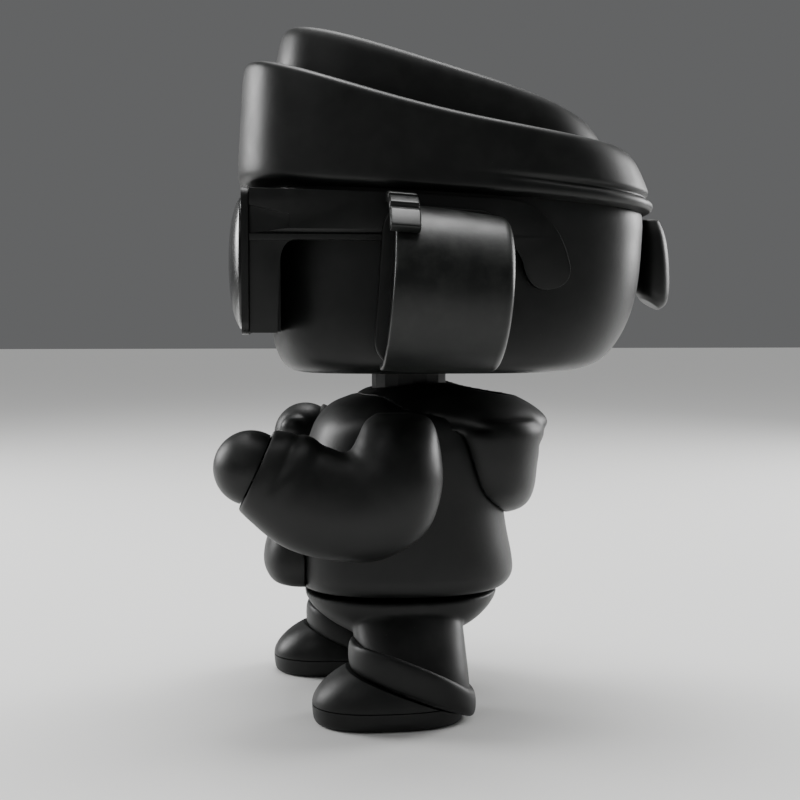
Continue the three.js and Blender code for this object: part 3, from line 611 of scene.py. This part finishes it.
def make_hat():
    def band_height(share, x, y):
        return brim_height(y) + share * (ledge_height(y) - brim_height(y))

    def crown_top(share, x, y):
        return ledge_height(y) + share * (crown_height(y) - ledge_height(y))

    band = tower("hat_band_form", BAND_ROWS, count=56, height_at=band_height, levels=2, **HEAD_SHAPE)

    def hem(points):
        """A rolled hem that grows towards the back, with a crease above it."""
        x, y, z = points.T
        share = (z - brim_height(y)) / (ledge_height(y) - brim_height(y))
        behind = fade(y, 5, 62)
        roll = 0.9 * np.exp(-(((share - 0.1) / 0.07) ** 2)) * behind
        line = -1.3 * np.exp(-(((share - 0.235) / 0.05) ** 2)) * behind
        return np.where(share < 0.6, roll * 0.5 + line, 0)

    displaced(band, hem)
    crown_tool = tower("tool", [[-0.6, *CROWN_ROWS[0][1:]], *CROWN_ROWS], height_at=crown_top, **HEAD_SHAPE)
    set_points(crown_tool, grow_sideways(drawn_points(crown_tool), GAP))
    cut(band, crown_tool, head_form("tool", HEAD_CLEARANCE, count=30))
    dress(band, "hat", "head", "hat_band")

    crown = tower("hat_crown_form", CROWN_ROWS, count=44, height_at=crown_top, levels=2, **HEAD_SHAPE)
    dress(crown, "hat", "head", "hat_crown")

    tail_rows = [
        [0, 75.6, 150.2, 82, 150.2, 4.5],
        [0, 75.2, 145, 84, 145, 6.5],
        [0, 75.1, 138, 85.2, 137.5, 7.5],
        [0, 74.8, 131.5, 85.6, 128.5, 7.5],
        [0, 75, 127.4, 84.8, 123, 6.8],
        [0, 76.5, 124.6, 82.4, 120.9, 4.2],
    ]
    tail = subdivide(skin("hat_tail_form", limb_rings(tail_rows, sides=40, count=30)), 1)
    cut(tail, head_form("tool", HEAD_CLEARANCE, count=30))
    dress(tail, "hat", "head", "hat_tail")


def grow_sideways(points, distance):
    """Moves points straight out from the head's middle line."""
    out = points - np.array([0, HEAD_MIDDLE, 0])
    out[:, 2] = 0
    length = np.maximum(np.linalg.norm(out, axis=1), 1e-6)[:, None]
    return points + out / length * distance


# ---------- side drums ----------
def placed_drum(obj):
    """Tilts a piece drawn about the drum's own axis, and moves it to the side of the head."""
    x, y, z = drawn_points(obj).T
    c, s = math.cos(DRUM_TILT), math.sin(DRUM_TILT)
    set_points(obj, np.stack([x + DRUM_X, y * c - z * s + DRUM_Y, y * s + z * c + DRUM_Z], axis=1))
    return obj


def outer_side():
    """The half of a drum that stands out from the head, as a tool."""
    return box_object("tool", (DRUM_INNER - DRUM_X, -40, -40), (40, 40, 40))


def drum_shell(name):
    rear, front = DRUM_HALF_LENGTH, -DRUM_HALF_LENGTH
    wall, edge = 2.2, 2.6
    profile = [[0, rear + 0.6], [8, rear + 0.55], [15, rear + 0.3]]
    for step in range(7):
        angle = math.pi / 2 * (1 - step / 6)
        radius = DRUM_REAR_RADIUS - edge + edge * math.cos(angle)
        profile.append([radius, rear - edge + edge * math.sin(angle)])
    for step in range(1, 9):
        share = step / 9
        radius = DRUM_REAR_RADIUS + (DRUM_FRONT_RADIUS - DRUM_REAR_RADIUS) * share
        swell = 0.25 * math.sin(math.pi * share)
        profile.append([radius + swell, rear - edge + (front + 1 - rear + edge) * share])
    for step in range(5):
        angle = math.pi / 2 * step / 4
        profile.append([DRUM_FRONT_RADIUS - 0.8 + 0.8 * math.cos(angle), front + 0.8 - 0.8 * math.sin(angle)])
    inner = DRUM_FRONT_RADIUS - wall
    profile += [[inner + 0.5, front], [inner, front + 0.5], [inner, front + 6]]
    profile += [[DRUM_REAR_RADIUS - wall, rear - wall], [0, rear - wall]]
    shell = turned(name, profile, (0, 0, 0), (0, 1, 0), sides=128)
    keep(shell, outer_side())
    return placed_drum(shell)


def drum_grille(name):
    radius = DRUM_FRONT_RADIUS - 2.2 - GAP
    front = -DRUM_HALF_LENGTH + 1.6
    profile = [[0, front], [radius, front], [radius, front + 2], [0, front + 2]]
    disc = turned(name, profile, (0, 0, 0), (0, 1, 0), sides=96)
    slots = []
    for row in range(-2, 3):
        for column in range(2):
            x, z = 3.5 + 6.6 * column, 7 * row
            if math.hypot(x + 4, abs(z) + 2.2) < radius - 1:
                slots.append(box_object("slot", (x, front - 1, z - 2.2), (x + 4, front + 3, z + 2.2)))
    keep(disc, outer_side())
    cut(disc, *slots)
    return placed_drum(bevel(disc, 0.35, 2))


def rounded_rectangle(low_a, high_a, low_b, high_b, radius, steps=8):
    outline = []
    corners = [(high_a, low_b, -90), (high_a, high_b, 0), (low_a, high_b, 90), (low_a, low_b, 180)]
    for a, b, start in corners:
        centre_a = a - math.copysign(radius, a - (low_a + high_a) / 2)
        centre_b = b - math.copysign(radius, b - (low_b + high_b) / 2)
        for step in range(steps + 1):
            angle = math.radians(start + 90 * step / steps)
            outline.append([centre_a + radius * math.cos(angle), centre_b + radius * math.sin(angle)])
    return outline


def drum_plate(name):
    inner = TEMPLE_OUT + GAP - DRUM_X
    plate = prism(name, rounded_rectangle(-18.4, 15.9, -22.1, 23.9, 7), "x", inner, inner + 2)
    return placed_drum(bevel(plate, 0.6, 3))


def clamp_block(name):
    inner = DRUM_FRONT_RADIUS + GAP
    outer = inner + 2.9
    groove = outer - 1.3

    def arc(radius, start, end, steps=6):
        for step in range(steps + 1):
            angle = math.radians(start + (end - start) * step / steps)
            yield [radius * math.cos(angle), radius * math.sin(angle)]

    outline = [
        *arc(outer, 36, 51),
        *arc(groove, 52, 57, 3),
        *arc(outer, 58, 69),
        *arc(groove, 70, 75, 3),
        *arc(outer, 76, 91),
        *arc(inner, 91, 36, 12),
    ]
    block = prism(name, outline, "y", -DRUM_HALF_LENGTH - 1.8, -DRUM_HALF_LENGTH + 6.5)
    return placed_drum(bevel(block, 0.55, 4, angle=50))


def make_drums():
    paired(drum_shell, "drum_shell_form", "drum", "head", "drum_shell")
    paired(drum_grille, "drum_grille_form", "grille", "head", "drum_grille")
    paired(drum_plate, "drum_plate_form", "glasses", "head", "drum_plate")
    paired(clamp_block, "clamp_block_form", "drum", "head", "clamp_block")


# ---------- glasses ----------
def lens_outline(half, power=3, steps=72):
    outline = []
    for step in range(steps):
        angle = 2 * math.pi * step / steps
        c, s = math.cos(angle), math.sin(angle)
        radius = half * (abs(c) ** power + abs(s) ** power) ** (-1 / power)
        outline.append([radius * c, radius * s])
    return outline


def lens(name):
    """A domed lens: rings shrink from its edge to its middle as they come forward."""
    base = GLASSES_FACE + 1 - GAP
    rise = LENS_BULGE + 1 - GAP
    rings = []
    for edge in (0, 0.12, 0.22):
        rings.append([[LENS_X + a, base - rise * edge, LENS_Z + b] for a, b in lens_outline(LENS_HALF)])
    for step in range(1, 18):
        share = 0.995 * math.cos(math.pi / 2 * step / 18)
        depth = rise * (1 - 0.4 * share**2 - 0.33 * share**6)
        outline = lens_outline(LENS_HALF * share, power=2 + share**2)
        rings.append([[LENS_X + a, base - depth, LENS_Z + b] for a, b in outline])
    return face_outward(subdivide(skin(name, np.array(rings)), 1))


def glasses_frame():
    back = GLASSES_FACE + 2
    face = rounded_rectangle(-TEMPLE_OUT, TEMPLE_OUT, GLASSES_LOW, GLASSES_HIGH, 4)
    plate = prism("glasses_frame_form", face, "y", GLASSES_FACE, back)
    for sign in (1, -1):
        outline = [[sign * LENS_X + a, LENS_Z + b] for a, b in lens_outline(LENS_HALF + GAP)]
        cut(plate, prism("tool", outline, "y", GLASSES_FACE - 2, GLASSES_FACE + 1))
    bevel(plate, 0.5, 3)
    inside = TEMPLE_IN - GAP
    low = (-inside, back - 0.3, GLASSES_LOW + 0.8)
    high = (inside, HEAD_FRONT + 3, GLASSES_HIGH - 0.8)
    boolean(plate, [box_object("backing", low, high)], "UNION")
    return cut(plate, head_form("tool", HEAD_CLEARANCE, count=30))


def quadratic(start, bend, end, steps=10):
    for step in range(1, steps + 1):
        t = step / steps
        yield [(1 - t) ** 2 * a + 2 * t * (1 - t) * b + t * t * c for a, b, c in zip(start, bend, end)]


def temple(name):
    """A side arm with its cheek panel, hinge recess and the groove along its lower edge."""
    cheek, arm_low = -42.5, 140.2
    start = GLASSES_FACE + 2 + GAP
    outline = [[start, GLASSES_LOW + 0.5], [cheek, GLASSES_LOW + 0.5], [cheek + 0.8, 133]]
    bends = [
        [[cheek + 1, arm_low], [cheek + 5.5, arm_low]],
        [None, [22, arm_low]],
        [[26, 139.5], [28, 134]],
        [[29.5, 126.5], [34.5, 126.2]],
        [[42.5, 126.4], [42, 133]],
        [[39.5, 145], [31, 150]],
        [[28, 151.8], [20, 152.2]],
    ]
    for bend, end in bends:
        outline += [end] if bend is None else list(quadratic(outline[-1], bend, end))
    outline += [[-12, 153.8], [start, GLASSES_HIGH - 0.6]]
    arm = prism(name, outline, "x", TEMPLE_IN, TEMPLE_OUT)
    recess = [[GLASSES_FACE + 1.5, 150], [-39, 147.4], [-39, 143.4], [GLASSES_FACE + 1.5, 141.8]]
    cut(arm, prism("tool", recess, "x", TEMPLE_OUT - 1.2, TEMPLE_OUT + 2))
    below = [
        [start - 1, GLASSES_LOW - 1],
        [start - 1, arm_low - 0.3],
        [-30, arm_low - 0.3],
        [-30, GLASSES_LOW - 1],
    ]
    cut(arm, prism("tool", below, "x", TEMPLE_OUT - 1.1, TEMPLE_OUT + 2))
    bevel(arm, 0.4, 3)
    groove = [
        [TEMPLE_OUT + 0.5, arm_low + 1.2],
        [TEMPLE_OUT - 0.8, arm_low + 1.9],
        [TEMPLE_OUT + 0.5, arm_low + 3.8],
    ]
    return cut(arm, prism("tool", groove, "y", start - 1, DRUM_Y))


def make_glasses():
    dress(glasses_frame(), "glasses", "glasses", "glasses_frame")
    paired(lens, "lens_form", "lens", "glasses", "lens", sharp=60)
    paired(temple, "temple_form", "glasses", "glasses", "temple")


# ---------- hoodie ----------
TORSO_ROWS = [
    [TORSO_LOW, 27, -32, 27],
    [TORSO_LOW + 0.8, 30, -35, 30.5],
    [37, 31.3, -37, 33],
    [42, 31.4, -37.5, 33],
    [52, 31.2, -37, 31],
    [62, 31, -36, 29.5],
    [72, 31.2, -34.3, 27.5],
    [80, 31, -32.2, 25],
    [86, 29, -29.6, 22],
    [90.8, 23.2, -25, 18],
    [93.8, 16.8, -18, 15],
]
TORSO_SHAPE = {"middle": -3, "powers": (2.5, 2.5)}
NECK_HOLE, WAIST_HOLE = 12.3, 10.4


def torso_form(name, distance=0, **options):
    return tower(name, grown(TORSO_ROWS, distance), **TORSO_SHAPE, **options)


def bore(name, radius, low, high):
    return turned(name, [[0, 0], [radius, 0], [radius, high - low], [0, high - low]], (0, 0, low), (0, 0, 1))


def make_torso():
    torso = torso_form("hoodie_body_form", sides=72, count=56)

    def shoulders(points):
        """Fills out the shoulders so that they meet the sleeves."""
        x, y, z = points.T
        near = np.exp(-(((z - 86) / 3.6) ** 2) - ((y + 6) / 13) ** 2)
        return 2.0 * near * fade(np.abs(x), 20, 28)

    displaced(torso, shoulders)
    cut(torso, bore("tool", WAIST_HOLE, TORSO_LOW - 5, TORSO_LOW + 4), bore("tool", NECK_HOLE, 84, 100))
    dress(torso, "hoodie", "torso", "hoodie_body")

    pouch_rows = [
        [34.2, 14.5, -41, -30],
        [35.6, 17, -44.5, -30],
        [40, 18.2, -46.8, -30],
        [45, 18, -46.6, -30],
        [51, 17, -44.5, -30],
        [56, 15, -41, -30],
        [58.5, 12, -38, -30],
    ]
    pouch = tower("front_pocket_form", pouch_rows, middle=-31, powers=(3.2, 2.4), sides=64, count=36)
    cut(pouch, torso_form("tool", GAP, sides=72, count=56))
    remesh(pouch, 0.45, 10)
    dress(pouch, "hoodie", "torso", "front_pocket", sharp=60)


def make_hood():
    """The hood lies round the neck and hangs behind: a collar, a rolled rim and a bag."""
    collar_rows = [
        [80, 25, -22, 40],
        [83, 28, -26.5, 44.2],
        [86, 28.4, -27.5, 44.8],
        [90, 26.4, -25, 40.5],
        [94, 22.5, -21, 33],
        [97, 17.5, -16, 25],
        [98, 14.5, -13.5, 21],
    ]

    def lean(height, x, y):
        return height + 0.12 * np.minimum(y - 4, 0)

    collar = tower("collar", collar_rows, levels=1, middle=4, powers=(2.3, 2.3), height_at=lean)
    bag_rows = [
        [55.7, 10, 22, 31.5],
        [57.2, 16, 20, 36],
        [60, 21, 18, 38.8],
        [65, 26, 14, 40.2],
        [72, 28.4, 10, 40.8],
        [78, 29.2, 6, 41.8],
        [83, 29.2, 2, 43],
        [87, 27.5, 0, 40.5],
    ]
    bag = tower("bag", bag_rows, levels=1, middle=22, powers=(2.3, 2.5))
    hood = remesh(joined("hood_form", collar, bag), 0.7, 6)

    def folds(points):
        """The crease under the rolled rim, deepest at the sides."""
        y = points[:, 1]
        rim = [
            [0, 43, 76],
            [9, 41.8, 77],
            [19, 36, 79.6],
            [25, 26.4, 82.3],
            [28.4, 18.3, 85],
            [29, 10, 86.9],
            [28, 3.3, 88],
        ]
        amount = np.zeros(len(points))
        for sign in (1, -1):
            amount += crease(points, [[sign * px, py, pz] for px, py, pz in rim], 1.5, 1.5)
        return amount * (0.45 + 0.55 * fade(-y, -36, -20))

    displaced(hood, folds)
    pocket = ellipsoid("tool", (0, 22, 98), (16.5, 15, 8))
    cut(hood, pocket, bore("tool", NECK_HOLE, 60, 120), torso_form("tool", GAP, sides=72, count=56))
    remesh(hood, 0.5, 4)
    dress(hood, "hoodie", "torso", "hood", sharp=60)


# ---------- arms ----------
ARM_ROWS = {
    "left": [
        [34, -13.5, 90, -2.5, 90, 3.5],
        [36, -17, 87.5, 2.6, 88, 7.5],
        [38.6, -19, 84, 5, 79.5, 11],
        [40.3, -20.5, 81.3, 5.2, 68.3, 12.8],
        [41, -22, 79.6, 0.3, 55.5, 13.2],
        [41, -24, 79.2, -12.7, 47.7, 13.2],
        [40.4, -28.5, 81, -28, 47.8, 13.1],
        [39.5, -35, 84.3, -42, 52.2, 12.9],
        [38.4, -43.5, 85.6, -54.2, 62.4, 12.2],
    ],
    "right": [
        [34, -12.5, 90, -2, 90, 3.5],
        [36, -15.5, 87.5, 3.5, 88, 7.5],
        [38.6, -16, 84.5, 7.5, 80.2, 11],
        [40.3, -15.5, 82, 10.8, 70, 12.8],
        [41, -14.5, 80.2, 9.5, 57.5, 13.2],
        [41, -14.5, 79.8, 0, 49, 13.2],
        [40.4, -16.5, 81.5, -13, 48.7, 13.1],
        [39.5, -20.5, 85.2, -27, 55.8, 12.9],
        [38.4, -26, 88.6, -35.5, 66, 12.2],
    ],
}


def arm_end(rows):
    """The middle of the cuff, the way the forearm points there, and the way to its upper side."""
    x, inner_y, inner_z, outer_y, outer_z, half = rows[-1]
    end = np.array([x, (inner_y + outer_y) / 2, (inner_z + outer_z) / 2])
    up = np.array([0, inner_y - outer_y, inner_z - outer_z])
    up /= np.linalg.norm(up)
    return end, np.array([0, -up[2], up[1]]), up


def sleeve(side):
    rows = ARM_ROWS[side]
    end, axis, up = arm_end(rows)
    rings = limb_rings(rows, sides=56, count=56)
    mouth = rings[-1]
    lip_steps = [(0.985, 0.0), (0.93, -0.1), (0.9, -0.6), (0.89, -1.6)]
    lip = [end + (mouth - end) * share + axis * depth for share, depth in lip_steps]
    obj = subdivide(skin(f"{side}_sleeve_form", np.array([*rings[:-1], *lip])), 1)

    def folds(points):
        """A soft cuff with one fold behind it, plainest underneath."""
        along = (points - end) @ axis
        above = (points - end) @ up
        cuff_fold = -0.5 * np.exp(-(((along + 5.2 + 0.1 * above) / 1.3) ** 2))
        roll = 0.25 * np.exp(-(((along + 8.4 + 0.16 * above) / 2.2) ** 2))
        second = -0.2 * np.exp(-(((along + 11.5 + 0.2 * above) / 1.8) ** 2))
        return (cuff_fold + roll + second) * fade(above, -10, 7)

    displaced(obj, folds)
    points = drawn_points(obj)
    points[:, 0] = np.maximum(points[:, 0], ARM_PLANE)
    set_points(obj, points)
    return obj


def hand(side):
    """A closed mitt with its thumb folded on the inner side."""
    end, axis, up = arm_end(ARM_ROWS[side])
    middle = end + axis * 1.6
    fist = ellipsoid("fist", middle, (10.8, 11, 11))
    thumb = ellipsoid("thumb", middle + np.array([-7.2, -3.5, 2.6]), (4.2, 5.4, 4.6))
    obj = remesh(joined(f"{side}_hand_form", fist, thumb), 0.5, 5)
    sleeve_side = turned("tool", [[0, -30], [30, -30], [30, 0], [0, 0]], end + axis * GAP, axis)
    return cut(obj, sleeve_side)


def make_arms():
    for side in SIDES:
        dress(flipped(sleeve(side), side), "hoodie", f"{side}_arm", f"{side}_sleeve")
        dress(flipped(hand(side), side), "skin", f"{side}_fist", f"{side}_hand")


# ---------- trousers and shoes ----------
PELVIS_ROWS = [
    [15, 13, -10, 5],
    [17, 19, -16.5, 11],
    [20, 23.5, -22, 17],
    [23, 26.5, -27, 22],
    [26.5, 28.5, -31.3, 25.6],
    [29.5, 29, -33.4, 27.6],
    [32, 29, -34, 28.4],
]
LEG_ROWS = [
    [-4, 14, -19.5, 15.3, FOOT_X],
    [3, 14.3, -19.8, 15.4, FOOT_X - 0.3],
    [10, 14.4, -19.6, 15.1, FOOT_X - 1.9],
    [16, 14, -19.4, 14.8, FOOT_X - 5],
    [22, 13.2, -19.6, 14.6, FOOT_X - 8.8],
    [30, 11.5, -20, 14.5, FOOT_X - 15],
]
SHOE_ROWS = [
    [FLOOR_Z, 13, -30.8, 11.5],
    [FLOOR_Z + 1.2, 14.3, -32.2, 12.8],
    [SOLE_TOP, 14.6, -32.7, 13.2],
    [5, 14.3, -32, 13],
    [8, 13.4, -29.8, 12.4],
    [11, 11.6, -26.2, 11],
    [13.5, 9, -21.7, 8.5],
    [15.5, 5, -16, 4],
]
TROUSER_SLOPE = -0.39
TROUSER_FRONT_Y, TROUSER_FRONT_Z = -20.8, 12.6


def trouser_bottom(y, step):
    """Height of the trousers' slanting lower end."""
    return TROUSER_FRONT_Z + TROUSER_SLOPE * (y - TROUSER_FRONT_Y - step)


def leg_form(name, step):
    """A leg whose lower rows take more of the foot's step."""
    rows = []
    for height, half, front, back, x in LEG_ROWS:
        shift = step * min(max(1 - (height - 4) / 26, 0), 1)
        rows.append([height, half, front + shift, back + shift, x])
    return tower(name, rows, middle=-2.5 + step / 2, sides=56, count=30)


def above_bottom(name, step, lift):
    """Everything over the slanting lower end of the trousers, as a tool."""
    near, far = -90, 70
    outline = [
        [near, trouser_bottom(near, step) + lift],
        [far, trouser_bottom(far, step) + lift],
        [far, 90],
        [near, 90],
    ]
    return prism(name, outline, "x", -10, 90)


def make_trousers():
    legs = []
    for side, step in FOOT_STEP.items():
        leg = keep(leg_form(f"{side}_leg_form", step), above_bottom("tool", step, GAP / 2))
        keep(leg, box_object("tool", (0, -60, FLOOR_Z + 0.9), (60, 40, 31)))
        legs.append(flipped(leg, side))
    pelvis = tower("pelvis", PELVIS_ROWS, middle=-3, sides=64, count=30)
    trousers = remesh(joined("trousers_form", pelvis, *legs), 0.6, 14)
    cut(trousers, bore("tool", 10.3, 28.5, 40))
    dress(trousers, "trousers", "legs", "pelvis", "left_leg", "right_leg")


def cuff(side):
    """The turned-up cuff: higher in front, low at the heel and lifted on the outer side."""
    step = FOOT_STEP[side]
    centre_y = -2.2 + step

    def height_at(share, x, y):
        forward = np.clip((centre_y - y) / 18, -1, 1)
        outward = np.clip((x - FOOT_X) / 15, 0, 1)
        low = 4.7 + 7.3 * forward + 1.6 * outward**2
        high = 13.4 + 7.6 * forward + 4 * outward**2
        return low + share * (high - low)

    half, front, back, x = 16, -21.4 + step, 17.1 + step, FOOT_X - 1.5
    inset = [
        *[(0.5, 4.2), (0.16, 4.2), (0.02, 3.4), (0, 1.6)],
        *[(0.08, 0.3), (0.3, -0.15), (0.6, -0.2), (0.85, 0.1)],
        *[(0.98, 0.9), (1.0, 2.2), (0.94, 3.4), (0.8, 4.2)],
    ]
    rings = []
    for share, inward in inset:
        row = [share, half - inward, front + inward, back - inward, x]
        rings.append(tower_rings([row, row], middle=-2.5 + step, sides=56, count=2, height_at=height_at)[0])
    ring = subdivide(hoop(f"{side}_trouser_cuff_form", rings), 2)
    return flipped(face_outward(ring), side)


def shoe_form(name, step):
    rows = []
    for height, half, front, back in SHOE_ROWS:
        rows.append([height, half, front + step, back + step, FOOT_X])
    return tower(name, rows, middle=-12 + step, powers=(2.3, 2.6), sides=64, count=40)


def make_shoes():
    for side, step in FOOT_STEP.items():
        for name, low, high in (("shoe", SOLE_TOP + GAP, 30), ("sole", FLOOR_Z - 1, SOLE_TOP)):
            piece = shoe_form(f"{side}_{name}_form", step)
            keep(piece, box_object("tool", (0, -70, low), (90, 50, high)))
            cut(piece, above_bottom("tool", step, -GAP / 2))
            bevel(piece, 0.3, 2)
            dress(flipped(piece, side), "shoes", "legs", f"{side}_{name}")
        dress(cuff(side), "trousers", "legs", f"{side}_trouser_cuff")


# ---------- carried-over CAD pieces ----------
def dress_pegs():
    for name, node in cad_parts.items():
        if "peg" in name or "post" in name:
            node.data.materials.clear()
            node.data.materials.append(MATERIALS["pegs"])


# ---------- stage ----------
def make_stage():
    size = 6
    points = [[-size, -size, 0], [size, -size, 0], [size, size, 0], [-size, size, 0]]
    mesh = bpy.data.meshes.new("floor")
    mesh.from_pydata(points, [], [[0, 1, 2, 3]])
    floor = bpy.data.objects.new("floor", mesh)
    bpy.context.scene.collection.objects.link(floor)
    paint = bpy.data.materials.new("floor_paint")
    paint.use_nodes = True
    shader = paint.node_tree.nodes["Principled BSDF"]
    shader.inputs["Base Color"].default_value = (0.72, 0.72, 0.71, 1)
    shader.inputs["Roughness"].default_value = 0.7
    floor.data.materials.append(paint)

    world = bpy.data.worlds.new("studio")
    world.use_nodes = True
    world.node_tree.nodes["Background"].inputs["Color"].default_value = (0.80, 0.81, 0.82, 1)
    world.node_tree.nodes["Background"].inputs["Strength"].default_value = 0.16
    bpy.context.scene.world = world

    lights = [
        ("front_strip", (-0.4, -0.8, 0.40), 0.45, 9),
        ("top_soft", (-0.2, 0.05, 0.95), 0.6, 9),
        ("rear_strip", (-0.4, 0.85, 0.35), 0.45, 9),
        ("camera_fill", (0.75, -0.65, 0.75), 0.6, 1.2),
    ]
    for name, where, size, power in lights:
        light = bpy.data.lights.new(name, "AREA")
        light.shape = "DISK"
        light.size = size
        light.energy = power
        lamp = bpy.data.objects.new(name, light)
        lamp.location = where
        lamp.rotation_euler = (Vector((0, 0, 0.11)) - Vector(where)).to_track_quat("-Z", "Y").to_euler()
        bpy.context.scene.collection.objects.link(lamp)

    # A wide soft light from above, which keeps the whole floor evenly pale.
    sky = bpy.data.lights.new("sky_soft", "SUN")
    sky.angle = math.radians(70)
    sky.energy = 1.3
    lamp = bpy.data.objects.new("sky_soft", sky)
    lamp.rotation_euler = Vector((0.2, -0.05, -1)).to_track_quat("-Z", "Y").to_euler()
    bpy.context.scene.collection.objects.link(lamp)


def make_camera():
    """A little above the chest on the figure's left, turned slightly towards its front."""
    target = Vector((0, -0.0150, 0.0951))
    eye = Vector((0.4038, -0.0574, 0.1193))
    data = bpy.data.cameras.new("camera")
    data.lens = 56.6
    data.sensor_width = 36
    camera = bpy.data.objects.new("camera", data)
    camera.location = eye
    camera.rotation_euler = (target - eye).to_track_quat("-Z", "Y").to_euler()
    bpy.context.scene.collection.objects.link(camera)
    bpy.context.scene.camera = camera


make_head()
make_hat()
make_drums()
make_glasses()
make_torso()
make_hood()
make_arms()
make_trousers()
make_shoes()
dress_pegs()
make_stage()
make_camera()
